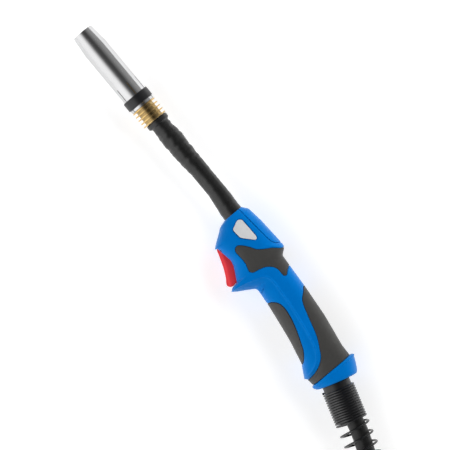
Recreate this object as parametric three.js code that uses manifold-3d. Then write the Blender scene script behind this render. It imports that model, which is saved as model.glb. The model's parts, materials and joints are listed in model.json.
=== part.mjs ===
// MIG welding torch with a flexible neck, lying on its right side. Millimetres, +Z up.
// Torch frame: +X runs from the gas nozzle to the cable, +Y from the trigger to the top of the
// handle, and the handle's mid-plane is z = 0. The whole torch is then stood on the table.
import * as THREE from 'three';
import { mergeVertices } from 'three/addons/utils/BufferGeometryUtils.js';
import Module from 'manifold-3d';

const wasm = await Module();
wasm.setup();

// ---- Driving dimensions ----
const HALF_WIDTH = 20;          // mid-plane of the handle over the table
const GAP = 0.3;                // clearance between neighbouring pieces
const WALL = 2.4;               // handle shell thickness
const PAD_DEPTH = 1.3;          // thickness of the soft grip inlays
const BADGE_PROUD = 0.5;        // how far the blank badge stands out of the cheek

const SLEEVE_RADII = [[0, 9.5], [-20, 8.8], [-43, 8.3], [-65, 9.35], [-85, 10], [-95, 8.9]];
const BEND_JOINTS = 7;          // flexible stretch of the neck, as a chain of equal links
const BEND_START = -8;
const BEND_LENGTH = 60;
const BEND_STEP = THREE.MathUtils.degToRad(17);
const CORE_RADIUS = 6;
const CORE_BORE = 2.6;
const SLEEVE_BORE = 6.4;

const HEAD_REAR = -107;         // end of the neck sleeve, start of the finned head
const FIN_PITCH = 3.7;
const FIN_COUNT = 5;
const NOZZLE_TIP = -208.5;
const NOZZLE_REAR = -123.7;
const NOZZLE_RADIUS = 11.6;
const NOZZLE_BORE = 10;
const SLOT_COUNT = 3;           // three saw cuts through the axis leave six spring fingers

const REAR_CENTRE = [162, -22.1];   // centre of the ball joint, in the handle's side view
const REAR_TILT = THREE.MathUtils.degToRad(-17.4);
const BALL_RADIUS = 12.8;
const SLEEVE_RADIUS = 12.7;
const WIRE_RADIUS = 1;
const SPRING_RADIUS = 14;
const SPRING_START = 16.8;
const TIGHT_TURNS = 13.5;
const TIGHT_PITCH = 2.25;
const LOOSE_TURNS = 4.5;
const LOOSE_PITCH = 9.7;

const CABLE_RADIUS = 7.9;
const CABLE_START = 20;         // along the ball joint's axis
const HANK_FOLD = [364, -20];   // middle of the near fold of the cable's tied hank
const HANK_RUN = 176;           // straight stretch between the middles of its two folds
const HANK_OUTSIDE = 71.1;      // outer and inner radius of its folds
const HANK_INSIDE = 39.5;
const HANK_HEIGHT = 29;
const HANK_CHAMFER = 4;
const TAIL_RADIUS = 55.3;       // the last turn lies in the groove on top
const TAIL_RISE = 37.4;         // height of its middle over the table
const TAIL_RUN = 100;           // how far along the run it is clear of the hank

const TRIGGER_PIVOT = [18, -27.5];
const TRIGGER_HALF = 6.4;
const SCREWS = [[9.5, -17], [60, -15], [141.5, -31]];

// Side outline of the handle: top and bottom edges as [x, y], then half width and squareness.
const TOP = [[0, 9.7], [2.5, 11.5], [5, 13.7], [20, 15.5], [38, 16.5], [50, 16.8], [51.6, 15.9],
  [55.8, 10.4], [66, 9.6], [88, 8.3], [120, 5.2], [150, 0.2], [160.7, -0.2]];
const BOTTOM = [[0, -10], [2, -16.3], [5.4, -20.8], [10, -27.5], [14.2, -32.8], [14.8, -31],
  [22, -29.9], [30, -28.4], [35, -29.4], [40, -32], [49, -37.2], [49.8, -44], [52, -45.2],
  [55.4, -40.4], [60, -32.5], [63.3, -27.1], [66, -26], [80, -27.2], [100, -30], [120, -33.2],
  [140, -37.8], [152.2, -44.7], [153.6, -42.8], [160.7, -42]];
const HALF = [[0, 12.5], [5, 16], [14, 18.8], [30, 19.5], [48, 19], [56, 16.8], [64, 16.6],
  [90, 18.4], [130, 19], [160.7, 19.4]];
const INNER_TOP = [[4, 10.6], [20, 13], [48, 13.9], [56, 7.8], [66, 7.2], [88, 5.9], [120, 2.8],
  [150, -2.2], [161.5, -2.7]];
const INNER_BOTTOM = [[4, -11], [14, -25.4], [22, -26.4], [56, -25.6], [66, -23.6], [100, -27.6],
  [120, -30.8], [140, -35.4], [161.5, -39]];

// Outlines of the pieces let into the handle's sides, in side view.
const CAP_OUTLINE = [[-2, 6.6], [3, 6.8], [38, 9.9], [43, 12.4], [46.5, 18], [46.5, 26], [-2, 26]];
const BADGE_OUTLINE = [[8.5, 3], [29, 3.5], [31, 1], [20.5, -8.8], [10.5, -9.5], [6.2, -0.5]];
const FRONT_PAD = [[51.3, 26], [51.3, 15.6], [45, 7.1], [37.5, -3.8], [31.7, -7.5], [26.3, -12],
  [24.2, -15], [24.6, -17.5], [26.5, -19.2], [36.7, -19], [41, -19.3], [45, -20.5],
  [48.3, -21.1], [50.8, -19.2], [52.1, -13.3], [53.8, -8.3], [57.5, -3.3], [61.7, -0.8],
  [70.4, 0], [71.2, 1.6], [68.3, 5.4], [66.2, 9.6], [65.2, 26]];
const UPPER_PAD = [[86.7, 26], [88.3, 7.9], [92, 4], [96.5, -1], [101, -3.3], [112, -6.7],
  [129, -11.7], [139, -16.7], [145.6, -20.6], [150.6, -26.7], [153.3, -33.3], [154.6, -42.2],
  [154.6, -60], [170, -60], [170, 26]];
const LOWER_PAD = [[79.2, -60], [80.3, -26.4], [82, -23], [85, -20], [90, -18.2], [101, -18.9],
  [112, -21.7], [123, -25.6], [132, -29.4], [138, -33.9], [140.6, -37.4], [142, -60]];

// The cable's lead, from the ball joint to the hank; heights are over the handle's mid-plane.
const LEAD_ROUTE = [[181.1, -28.1, 0], [186.8, -29.9, 0], [197, -32.1, 0], [208.5, -33.9, 0],
  [220, -37.1, -0.3], [235, -42.9, -1.5], [252, -49.8, -4], [267, -56, -7],
  [285, -63.7, -10.2], [302, -71.1, -11.9]];

// ---- Colours and finishes: colour, roughness, metalness ----
const BLUE = [0x0a66c2, 0.42, 0];
const GRIP = [0x3a3a38, 0.8, 0];
const RED = [0xc83440, 0.4, 0];
const SILVER = [0xc9cacb, 0.45, 0.3];
const NICKEL = [0xb9bcc0, 0.22, 1];
const BRASS = [0xc8a046, 0.3, 1];
const COPPER = [0xb87352, 0.3, 1];
const STEEL = [0x9a9da1, 0.35, 1];
const SPRING_BLACK = [0x1c1c1d, 0.5, 0.6];
const RUBBER = [0x1d1d1e, 0.6, 0];
const PLASTIC = [0x202022, 0.5, 0];
const CERAMIC = [0xe4dfd2, 0.7, 0];

// ---- Solids ----
const { cos, sin, tan, PI, sqrt, abs, sign } = Math;

// Turns a closed three.js geometry into a solid with its faces pointing out.
function solid(geometry) {
  const bare = geometry.index ? geometry.toNonIndexed() : geometry.clone();
  bare.deleteAttribute('normal');
  bare.deleteAttribute('uv');
  const merged = mergeVertices(bare, 1e-4);
  const corners = merged.getAttribute('position').array;
  const index = merged.index.array;
  const at = (i) => new THREE.Vector3().fromArray(corners, 3 * i);
  const faces = [];
  let volume = 0;
  for (let i = 0; i < index.length; i += 3) {
    const [a, b, c] = index.slice(i, i + 3);
    if (a === b || b === c || c === a) continue;
    faces.push([a, b, c]);
    volume += at(a).dot(at(b).cross(at(c)));
  }
  const outward = volume < 0 ? faces.map(([a, b, c]) => [a, c, b]) : faces;
  return new wasm.Manifold(new wasm.Mesh({
    numProp: 3,
    vertProperties: Float32Array.from(corners),
    triVerts: Uint32Array.from(outward.flat()),
  }));
}

// Revolves a closed profile of [x, radius] points about the X axis.
function revolve(profile, segments = 14) {
  const points = [...profile, profile[0]].map(([x, r]) => new THREE.Vector2(r, x));
  return solid(new THREE.LatheGeometry(points, segments).rotateZ(-PI / 2));
}

const rod = (x0, x1, r, segments) => revolve([[x0, 0], [x0, r], [x1, r], [x1, 0]], segments);
const pipe = (x0, x1, r, bore, segments) =>
  revolve([[x0, bore], [x0, r], [x1, r], [x1, bore]], segments);

// A rod across the handle, from z0 to z1.
function crossRod([x, y], z0, z1, r, segments = 12) {
  const turned = new THREE.CylinderGeometry(r, r, z1 - z0, segments).rotateX(PI / 2);
  return solid(turned.translate(x, y, (z0 + z1) / 2));
}

function box([x0, x1], [y0, y1], [z0, z1]) {
  const block = new THREE.BoxGeometry(x1 - x0, y1 - y0, z1 - z0);
  return solid(block.translate((x0 + x1) / 2, (y0 + y1) / 2, (z0 + z1) / 2));
}

// A plate with the given side outline, from z0 to z1.
function plate(outline, z0, z1) {
  const shape = new THREE.Shape(outline.map(([x, y]) => new THREE.Vector2(x, y)));
  const made = new THREE.ExtrudeGeometry(shape, { depth: z1 - z0, bevelEnabled: false });
  return solid(made.translate(0, 0, z0));
}

// A closed skin over equal rings of points, with flat ends.
function loft(rings) {
  const count = rings[0].length;
  const position = rings.flat().flatMap((p) => [p.x, p.y, p.z]);
  const index = [];
  for (let i = 0; i + 1 < rings.length; i++) {
    for (let j = 0; j < count; j++) {
      const a = i * count + j;
      const b = i * count + ((j + 1) % count);
      index.push(a, b, b + count, a, b + count, a + count);
    }
  }
  const last = (rings.length - 1) * count;
  for (let j = 1; j + 1 < count; j++) {
    index.push(0, j + 1, j, last, last + j, last + j + 1);
  }
  const geometry = new THREE.BufferGeometry();
  geometry.setAttribute('position', new THREE.Float32BufferAttribute(position, 3));
  geometry.setIndex(index);
  return solid(geometry);
}

// A round section swept along a curve.
function swept(curve, radius, sides, steps) {
  const section = new THREE.Shape();
  for (let i = 0; i < sides; i++) {
    const turn = (2 * PI * i) / sides;
    const move = i ? 'lineTo' : 'moveTo';
    section[move](radius * cos(turn), radius * sin(turn));
  }
  section.closePath();
  const options = { extrudePath: curve, steps, curveSegments: 1, bevelEnabled: false };
  return solid(new THREE.ExtrudeGeometry(section, options));
}

function mesh(name, body, [colour, roughness, metalness]) {
  const { numProp, vertProperties, triVerts } = body.getMesh();
  const geometry = new THREE.BufferGeometry();
  const position = new Float32Array(triVerts.length * 3);
  triVerts.forEach((v, i) => {
    position.set(vertProperties.subarray(v * numProp, v * numProp + 3), 3 * i);
  });
  geometry.setAttribute('position', new THREE.BufferAttribute(position, 3));
  geometry.computeVertexNormals();
  const material = new THREE.MeshStandardMaterial({ color: colour, roughness, metalness });
  const made = new THREE.Mesh(geometry, material);
  made.name = name;
  return made;
}

// Straight-line reading of a list of [x, value] points.
function along(points, x) {
  const rising = points[0][0] < points[points.length - 1][0];
  const list = rising ? points : [...points].reverse();
  if (x <= list[0][0]) return list[0][1];
  for (let i = 1; i < list.length; i++) {
    const [x1, v1] = list[i];
    const [x0, v0] = list[i - 1];
    if (x <= x1) return v0 + ((v1 - v0) * (x - x0)) / (x1 - x0);
  }
  return list[list.length - 1][1];
}

// ---- Handle ----
const SQUARENESS = 2.7;

function ovalRing(top, bottom, half, count, squareness = SQUARENESS) {
  return Array.from({ length: count }, (_, i) => {
    const turn = (2 * PI * i) / count;
    const across = sign(cos(turn)) * abs(cos(turn)) ** (2 / squareness);
    const up = sign(sin(turn)) * abs(sin(turn)) ** (2 / squareness);
    const middle = new THREE.Vector3(...top, 0).add(new THREE.Vector3(...bottom, 0)).divideScalar(2);
    const rise = new THREE.Vector3(...top, 0).sub(middle);
    return middle.addScaledVector(rise, up).add(new THREE.Vector3(0, 0, half * across));
  });
}

// The handle's outer form, drawn in by inset (or swollen, when it is negative).
function handleForm(inset, count = 20) {
  const stations = [...new Set([...TOP, ...BOTTOM, ...HALF].map(([x]) => x))];
  stations.sort((a, b) => a - b);
  const spaced = stations.filter((x, i) => i === 0 || x - stations[i - 1] > 0.3);
  return loft(spaced.map((x) => ovalRing([x, along(TOP, x) - inset],
    [x, along(BOTTOM, x) + inset], along(HALF, x) - inset, count)));
}

function handleCavity() {
  const stations = [4, 14, 22, 48, 56, 66, 88, 120, 140, 150, 161.5];
  return loft(stations.map((x) => ovalRing([x, along(INNER_TOP, x)],
    [x, along(INNER_BOTTOM, x)], along(HALF, x) - WALL, 12)));
}

// The outline moved outwards by a distance.
function grown(outline, distance) {
  const area = outline.reduce((sum, [x, y], i) => {
    const [u, v] = outline[(i + 1) % outline.length];
    return sum + x * v - u * y;
  }, 0);
  const way = area > 0 ? distance : -distance;
  return outline.map(([x, y], i) => {
    const [px, py] = outline[(i + outline.length - 1) % outline.length];
    const [nx, ny] = outline[(i + 1) % outline.length];
    const before = new THREE.Vector2(y - py, px - x).normalize();
    const after = new THREE.Vector2(ny - y, x - nx).normalize();
    const middle = before.clone().add(after).normalize();
    const reach = way / Math.max(0.5, middle.dot(after));
    return [x + middle.x * reach, y + middle.y * reach];
  });
}

const outer = handleForm(0);
const cavity = handleCavity();
const padFloor = handleForm(PAD_DEPTH);
const padSeat = handleForm(PAD_DEPTH + GAP);
const badgeForm = handleForm(-BADGE_PROUD);
const badgeFloor = handleForm(0.8);
const badgeSeat = handleForm(0.8 + GAP);
const SIDES = [['left', 1], ['right', -1]];
const REACH = 40;

function sidePlate(outline, side) {
  return side > 0 ? plate(outline, GAP / 2, REACH) : plate(outline, -REACH, -GAP / 2);
}

function handleShell(side) {
  const block = [[-5, 30], [-5, -60], [165, -60], [165, 30]];
  let shell = outer.intersect(sidePlate(block, side)).subtract(cavity);
  shell = shell.add(screwBosses(side).intersect(outer));
  if (side > 0) shell = shell.add(box([43, 51], [-15.2, -13.2], [0.6, 17.6]));
  for (const pad of [FRONT_PAD, UPPER_PAD, LOWER_PAD]) {
    shell = shell.subtract(sidePlate(grown(pad, GAP), side).subtract(padSeat));
  }
  shell = shell.subtract(sidePlate(grown(BADGE_OUTLINE, GAP), side).subtract(badgeSeat));
  shell = shell.subtract(plate(grown(CAP_OUTLINE, GAP), -REACH, REACH));
  shell = shell.subtract(rod(-6, 13, 10));
  shell = shell.subtract(box([14.9, 51.4], [-60, -20], [-TRIGGER_HALF - 0.8, TRIGGER_HALF + 0.8]));
  shell = shell.subtract(crossRod(TRIGGER_PIVOT, -10.1, 10.1, 1.8));
  return shell.subtract(screwHoles(side));
}

function screwBosses(side) {
  const bosses = SCREWS.map((at) => side > 0
    ? crossRod(at, GAP / 2, 25, 3.3) : crossRod(at, -25, -GAP / 2, 3.9));
  return bosses.reduce((all, one) => all.add(one));
}

function screwHoles(side) {
  const holes = SCREWS.map((at) => side > 0
    ? crossRod(at, -1, 10.3, 1.8)
    : crossRod(at, -25, -12.2, 3.2).add(crossRod(at, -14, 1, 1.8)));
  return holes.reduce((all, one) => all.add(one));
}

function handleScrew(at) {
  const head = crossRod(at, -14.6, -12.5, 2.9);
  const hex = crossRod(at, -16, -13.4, 1.4, 6);
  return head.add(crossRod(at, -13, 10, 1.5)).subtract(hex);
}

function inlay(outline, side, form, floor) {
  return form.intersect(sidePlate(outline, side)).subtract(floor);
}

function topCap() {
  const lid = outer.intersect(plate(CAP_OUTLINE, -REACH, REACH));
  return lid.subtract(cavity).subtract(rod(-6, 13, 10));
}

function rearRing() {
  const sections = [
    [[161, 1.2], [161, -41.6], 18.9],
    [[162.8, 3.3], [162, -43.9], 20],
    [[170, 0], [164.6, -43.4], 20],
    [[175.6, -3.2], [166.4, -42.2], 19.4],
    [[177.1, -6.3], [167.6, -39.7], 17.6],
  ];
  const body = loft(sections.map(([top, bottom, half]) => ovalRing(top, bottom, half, 20, 2.2)));
  const mouth = [[-9, 0], [-9, 13.3], [3, 13.3], [17, 16.9], [17, 0]];
  return body.subtract(rearPlaced(revolve(mouth, 20)));
}

// Moves a solid made about the ball joint's axis into the handle's frame.
function rearPlaced(body) {
  return body.rotate([0, 0, THREE.MathUtils.radToDeg(REAR_TILT)]).translate([...REAR_CENTRE, 0]);
}

function handle() {
  const group = new THREE.Group();
  for (const [name, side] of SIDES) {
    group.add(
      mesh(`handle_shell_${name}`, handleShell(side), BLUE),
      mesh(`grip_front_${name}`, inlay(FRONT_PAD, side, outer, padFloor), GRIP),
      mesh(`grip_upper_${name}`, inlay(UPPER_PAD, side, outer, padFloor), GRIP),
      mesh(`grip_lower_${name}`, inlay(LOWER_PAD, side, outer, padFloor), GRIP),
      mesh(`badge_${name}`, inlay(BADGE_OUTLINE, side, badgeForm, badgeFloor), SILVER),
    );
  }
  SCREWS.forEach((at, i) => group.add(mesh(`handle_screw_${i + 1}`, handleScrew(at), STEEL)));
  group.add(
    mesh('top_cap', topCap(), BLUE),
    mesh('rear_ring', rearRing(), BLUE),
    mesh('trigger_pin', crossRod(TRIGGER_PIVOT, -9.8, 9.8, 1.5), STEEL),
    mesh('union_nut', rod(9, 17, 9.2, 6).subtract(rod(8, 18, CORE_RADIUS + GAP)), BRASS),
    mesh('connecting_block', pipe(17.3, 46, 8.5, CORE_BORE), BRASS),
    mesh('liner_tube', linerTube(), RUBBER),
  );
  return group;
}

// The tube that carries wire, gas and current between the connecting block and the ball joint.
function linerTube() {
  const from = new THREE.Vector3(46.3, 0, 0);
  const to = new THREE.Vector3(...REAR_CENTRE, 0).add(new THREE.Vector3(-13.6, 4.1, 0));
  const out = new THREE.Vector3(90, -3, 0);
  return swept(new THREE.CatmullRomCurve3([from, out, to]), 4, 8, 6);
}

// ---- Trigger and switch ----
function trigger() {
  const outline = [[15.2, -30.9], [20, -32.8], [31.7, -37.1], [40, -41.3], [43.3, -43.6],
    [45.5, -44.4], [48.3, -42.6], [49.1, -40], [48.6, -36.5], [47.8, -30], [40, -26.2],
    [32, -24.4], [20, -24.2], [16, -25.8]];
  return plate(outline, -TRIGGER_HALF, TRIGGER_HALF).subtract(crossRod(TRIGGER_PIVOT, -9, 9, 1.6));
}

function upright([x, y, z], height, r, segments = 10) {
  return solid(new THREE.CylinderGeometry(r, r, height, segments).translate(x, y + height / 2, z));
}

function triggerSpring() {
  const [x, y, z] = [46, -28.4, 3.2];
  const [turns, rise, radius] = [5, 12.6, 2];
  const points = Array.from({ length: turns * 8 + 1 }, (_, i) => {
    const turn = (2 * PI * i) / 8;
    return new THREE.Vector3(x + radius * cos(turn), y + (rise * i) / (turns * 8),
      z + radius * sin(turn));
  });
  return swept(new THREE.CatmullRomCurve3(points), 0.35, 4, turns * 8);
}

function triggerGroup() {
  const group = new THREE.Group();
  const button = [32.5, -23.9, 0];
  const body = box([24.5, 43], [-20.8, -11], [-3.2, 3.2]);
  group.add(
    mesh('trigger', trigger(), RED),
    mesh('trigger_spring', triggerSpring(), STEEL),
    mesh('micro_switch', body.subtract(upright([32.5, -22, 0], 5, 1.5)), PLASTIC),
    mesh('switch_button', upright(button, 4.8, 1.2), RED),
  );
  return group;
}

// ---- Neck ----
const jointX = (k) => BEND_START - (BEND_LENGTH / BEND_JOINTS) * (k + 0.5);
const draft = (r) => GAP / 2 + r * tan(BEND_STEP / 2);   // each end leans back so links can fold

// A hollow link between two hinge planes, with its ends leaning back from the planes.
function link(front, rear, bore, radiusAt) {
  const ends = [[front, 1], [rear, -1]].map(([plane, way]) => {
    const edge = plane + way * draft(radiusAt(plane));
    return [[plane + way * draft(bore), bore], [edge, radiusAt(edge)]];
  });
  return revolve([...ends[0], ends[1][1], ends[1][0]]);
}

function neck() {
  const group = new THREE.Group();
  const core = () => CORE_RADIUS;
  const skin = (x) => along(SLEEVE_RADII, x);
  for (let k = 0; k + 1 < BEND_JOINTS; k++) {
    group.add(
      mesh(`neck_link_${k + 1}`, link(jointX(k + 1), jointX(k), CORE_BORE, core), COPPER),
      mesh(`neck_sleeve_${k + 1}`, link(jointX(k + 1), jointX(k), SLEEVE_BORE, skin), RUBBER),
    );
  }
  const first = jointX(0);
  const last = jointX(BEND_JOINTS - 1);
  const rootFront = first + draft(9.2);
  const headEnd = last - draft(9.35);
  group.add(
    mesh('neck_root_tube', revolve([[first + draft(CORE_BORE), CORE_BORE],
      [first + draft(CORE_RADIUS), CORE_RADIUS], [17, CORE_RADIUS], [17, CORE_BORE]]), COPPER),
    mesh('neck_sleeve_root', revolve([[first + draft(SLEEVE_BORE), SLEEVE_BORE],
      [rootFront, 9.1], [0, 9.5], [8.7, 9.5], [8.7, SLEEVE_BORE]]), RUBBER),
    mesh('neck_head_tube', revolve([[HEAD_REAR + GAP, CORE_BORE], [HEAD_REAR + GAP, CORE_RADIUS],
      [last - draft(CORE_RADIUS), CORE_RADIUS], [last - draft(CORE_BORE), CORE_BORE]]), COPPER),
    mesh('neck_sleeve_head', revolve([[HEAD_REAR, SLEEVE_BORE], [HEAD_REAR, 10.6],
      [HEAD_REAR + 0.8, 11.2], [-103.5, 11.2], [-101, 9.3], [-98, 8.9], [-95, 8.9], [-90, 9.7],
      [-85, 10], [-75, 9.6], [headEnd, 9.35], [last - draft(SLEEVE_BORE), SLEEVE_BORE]]), RUBBER),
  );
  return group;
}

// ---- Head and gas nozzle ----
function finnedHead() {
  const profile = [[HEAD_REAR - GAP, CORE_BORE], [HEAD_REAR - GAP, 12.2]];
  for (let i = 0; i < FIN_COUNT; i++) {
    const front = HEAD_REAR - GAP - 1.2 - FIN_PITCH * i;
    profile.push([front, 12.2], [front, 8.8]);
    if (i + 1 < FIN_COUNT) profile.push([front - FIN_PITCH + 1.2, 8.8], [front - FIN_PITCH + 1.2, 12.2]);
  }
  profile.push([NOZZLE_REAR - 0.3, 8.8], [NOZZLE_REAR - 0.6, 9.5], [-150, 9.5], [-150, CORE_BORE]);
  return revolve(profile, 16);
}

function gasDiffuser() {
  let ring = pipe(-162, -150.3, 8.4, 4.9, 16);
  for (let i = 0; i < 4; i++) {
    const hole = solid(new THREE.CylinderGeometry(1.1, 1.1, 20, 8)).rotate([45 * i, 0, 0]);
    ring = ring.subtract(hole.translate([-157, 0, 0]));
  }
  return ring;
}

function gasNozzle() {
  const wall = revolve([[NOZZLE_TIP, 8.3], [NOZZLE_TIP, 10], [NOZZLE_TIP + 0.4, 10.3],
    [-189, NOZZLE_RADIUS], [-126.3, NOZZLE_RADIUS], [-126.2, 12], [NOZZLE_REAR, 12],
    [NOZZLE_REAR, NOZZLE_BORE], [-152, NOZZLE_BORE], [-156, 9.8], [-190, 9.6]], 16);
  let cut = wall;
  for (let i = 0; i < SLOT_COUNT; i++) {
    const slot = box([-148, -120], [-0.5, 0.5], [-15, 15]).rotate([60 * i - 9, 0, 0]);
    cut = cut.subtract(slot);
  }
  return cut;
}

function head() {
  const group = new THREE.Group();
  const holder = [[-150.3, CORE_BORE], [-150.3, 4.4], [-162.3, 4.4], [-162.5, 6], [-173, 6],
    [-176, 5], [-176, CORE_BORE]];
  const tip = [[-176.3, 0.6], [-176.3, 4], [-201, 4], [-205.5, 2.7], [-205.5, 0.6]];
  const ring = [[-135.3, 11.9], [-135.3, 12.5], [-134.8, 12.9], [-127, 12.9], [-126.6, 12.5],
    [-126.6, 11.9]];
  group.add(
    mesh('finned_head', finnedHead(), BRASS),
    mesh('gas_diffuser', gasDiffuser(), CERAMIC),
    mesh('tip_holder', revolve(holder, 12), BRASS),
    mesh('contact_tip', revolve(tip, 12), COPPER),
    mesh('gas_nozzle', gasNozzle(), NICKEL),
    mesh('nozzle_ring', revolve(ring, 16), PLASTIC),
  );
  return group;
}

// ---- Ball joint, support spring and cable ----
// The support spring: wound close on the sleeve, then open round the cable.
function supportSpring() {
  const steps = 10;
  const points = [];
  let distance = SPRING_START;
  for (let i = 0; i <= (TIGHT_TURNS + LOOSE_TURNS) * steps; i++) {
    const turn = (2 * PI * i) / steps;
    points.push(new THREE.Vector3(distance, SPRING_RADIUS * cos(turn), SPRING_RADIUS * sin(turn)));
    distance += (i < TIGHT_TURNS * steps ? TIGHT_PITCH : LOOSE_PITCH) / steps;
  }
  return swept(new THREE.CatmullRomCurve3(points), WIRE_RADIUS, 4, points.length - 1);
}

function ballJoint() {
  const arc = Array.from({ length: 6 }, (_, i) => {
    const x = -10 + (18 * i) / 5;
    return [x, sqrt(BALL_RADIUS ** 2 - x * x)];
  });
  const group = new THREE.Group();
  const socketInner = [-9.5, -8.5, -7.3, -6.3].map((x) => [x, sqrt((BALL_RADIUS + 0.6) ** 2 - x * x)]);
  const socket = [...socketInner, [-6.3, 14.8], [-9.5, 14.8]];
  group.add(
    mesh('ball_socket', revolve(socket, 16), PLASTIC),
    mesh('swivel_ball', revolve([[-10, 5], ...arc, [8, 5]], 16), STEEL),
    mesh('swivel_sleeve', revolve([[8.3, 5], [8.3, 9.4], [10.6, SLEEVE_RADIUS],
      [15.2, SLEEVE_RADIUS], [15.5, 11.6], [26, 11.6], [26, 8.9], [11.7, 8.9], [11.7, 5]], 16), RUBBER),
    mesh('cable_fitting', pipe(12, CABLE_START - 0.5, 8.4, 2.6), BRASS),
    mesh('support_spring', supportSpring(), SPRING_BLACK),
  );
  group.position.set(...REAR_CENTRE, 0);
  group.rotation.z = REAR_TILT;
  return group;
}

function cableLead() {
  const points = LEAD_ROUTE.map((p) => new THREE.Vector3(...p));
  return swept(new THREE.CatmullRomCurve3(points), CABLE_RADIUS, 10, 10);
}

// ---- Hank and machine connector, in a frame on the table at the middle of the near fold ----
const NUT_RADIUS = 23;
const PLUG_PLACE = [20, -TAIL_RADIUS, 53.6];   // the cable's end, where the boot starts

// The last turn of cable: along the far side, round the near fold and up to the connector.
function tailPoint(distance) {
  const fold = PI * TAIL_RADIUS;
  const turn = THREE.MathUtils.clamp(distance, 0, fold) / TAIL_RADIUS;
  const run = distance < 0 ? -distance : Math.max(0, distance - fold);
  const climb = THREE.MathUtils.smoothstep(distance, fold - 60, fold + PLUG_PLACE[0]);
  return new THREE.Vector3(run - TAIL_RADIUS * sin(turn), TAIL_RADIUS * cos(turn),
    TAIL_RISE + (PLUG_PLACE[2] - TAIL_RISE) * climb);
}

function cableTail() {
  const end = PI * TAIL_RADIUS + PLUG_PLACE[0];
  const steps = 22;
  const points = Array.from({ length: steps + 1 },
    (_, i) => tailPoint(-TAIL_RUN + ((end + TAIL_RUN) * i) / steps));
  return swept(new THREE.CatmullRomCurve3(points), CABLE_RADIUS, 10, steps);
}

// An oblong with round ends, the given distance out from the line between the fold's middles.
function oblong(Kind, radius) {
  const outline = new Kind();
  outline.moveTo(0, -radius).lineTo(HANK_RUN, -radius);
  outline.absarc(HANK_RUN, 0, radius, -PI / 2, PI / 2, false);
  outline.lineTo(0, radius).absarc(0, 0, radius, PI / 2, (3 * PI) / 2, false);
  return outline;
}

function cableHank() {
  const outline = oblong(THREE.Shape, HANK_OUTSIDE);
  outline.holes.push(oblong(THREE.Path, HANK_INSIDE));
  const made = new THREE.ExtrudeGeometry(outline, {
    depth: HANK_HEIGHT - 2 * HANK_CHAMFER,
    bevelThickness: HANK_CHAMFER,
    bevelSize: HANK_CHAMFER,
    bevelOffset: -HANK_CHAMFER,
    bevelSegments: 1,
    curveSegments: 12,
  });
  return solid(made.translate(0, 0, HANK_CHAMFER));
}

// The machine connector lies on the hank; its axis is +X here, away from the cable.
function connector() {
  const group = new THREE.Group();
  group.add(
    mesh('connector_boot', revolve([[0.8, 0], [0.8, 10.5], [34, 12.5], [36, 15], [42, 15],
      [42, 0]], 18), RUBBER),
    mesh('connector_housing', revolve([[42.3, 0], [42.3, 18], [48, 21], [96, 22], [98, 21],
      [98, 12], [94, 12], [94, 0]], 16), PLASTIC),
    mesh('connector_nut', revolve([[98.6, 19], [98.6, 21], [100, NUT_RADIUS], [119, NUT_RADIUS],
      [120, 22], [120, 19]], 16), BRASS),
    mesh('connector_body', revolve([[94.3, 0], [94.3, 11.7], [98.6, 11.7], [98.6, 18.4],
      [118, 18.4], [118, 0]], 16), PLASTIC),
    mesh('connector_spigot', pipe(118.3, 138, 5, 1.6, 12), BRASS),
  );
  [-1, 1].forEach((side, i) => {
    const pin = rod(118.3, 127, 1.6, 10);
    const made = mesh(`control_pin_${i + 1}`, pin, BRASS);
    made.position.set(0, 12 * side, 0);
    group.add(made);
  });
  return group;
}

function hankGroup() {
  const group = new THREE.Group();
  const plug = connector();
  plug.position.set(...PLUG_PLACE);
  group.add(mesh('cable_hank', cableHank(), RUBBER), mesh('cable_tail', cableTail(), RUBBER), plug);
  group.position.set(...HANK_FOLD, -HALF_WIDTH);
  return group;
}

// ---- Assembly ----
function assembly() {
  const torch = new THREE.Group();
  torch.add(handle(), triggerGroup(), neck(), head(), ballJoint());
  const footprint = new THREE.Box3().setFromObject(torch).getCenter(new THREE.Vector3());
  torch.add(mesh('cable_lead', cableLead(), RUBBER), hankGroup());
  torch.position.set(-footprint.x, -footprint.y, HALF_WIDTH);
  const whole = new THREE.Group();
  whole.add(torch);
  return whole;
}

export default assembly();
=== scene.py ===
"""MIG welding torch with a flexible neck: the fine surfaces, looks, light and camera.

Shapes are worked out in the torch frame, in millimetres: +X runs from the gas nozzle to the
cable, +Y from the trigger to the top of the handle, z = 0 is the handle's mid-plane, and the
origin is where the neck enters the handle. Each finished piece is then placed in the row frame.
"""
import json
import math
import bpy
import numpy as np
from mathutils import Matrix, Vector


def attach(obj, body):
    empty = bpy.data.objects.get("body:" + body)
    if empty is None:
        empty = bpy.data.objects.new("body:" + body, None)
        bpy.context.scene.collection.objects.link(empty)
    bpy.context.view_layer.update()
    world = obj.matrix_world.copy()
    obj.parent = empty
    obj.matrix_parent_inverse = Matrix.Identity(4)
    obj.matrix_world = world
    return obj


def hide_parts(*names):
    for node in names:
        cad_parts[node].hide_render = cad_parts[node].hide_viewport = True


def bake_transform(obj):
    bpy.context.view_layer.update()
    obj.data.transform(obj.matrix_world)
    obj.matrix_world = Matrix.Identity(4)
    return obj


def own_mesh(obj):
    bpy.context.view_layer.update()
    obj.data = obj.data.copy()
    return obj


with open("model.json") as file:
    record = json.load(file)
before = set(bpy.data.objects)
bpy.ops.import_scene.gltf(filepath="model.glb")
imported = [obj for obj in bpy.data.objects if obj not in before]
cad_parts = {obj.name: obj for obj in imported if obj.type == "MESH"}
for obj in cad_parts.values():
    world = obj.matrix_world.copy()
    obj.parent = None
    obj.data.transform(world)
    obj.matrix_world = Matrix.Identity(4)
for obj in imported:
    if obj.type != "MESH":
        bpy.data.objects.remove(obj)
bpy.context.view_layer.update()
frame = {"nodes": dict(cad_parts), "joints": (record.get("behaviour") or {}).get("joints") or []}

JOINTS = {j["name"]: j for j in frame["joints"]}
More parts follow.
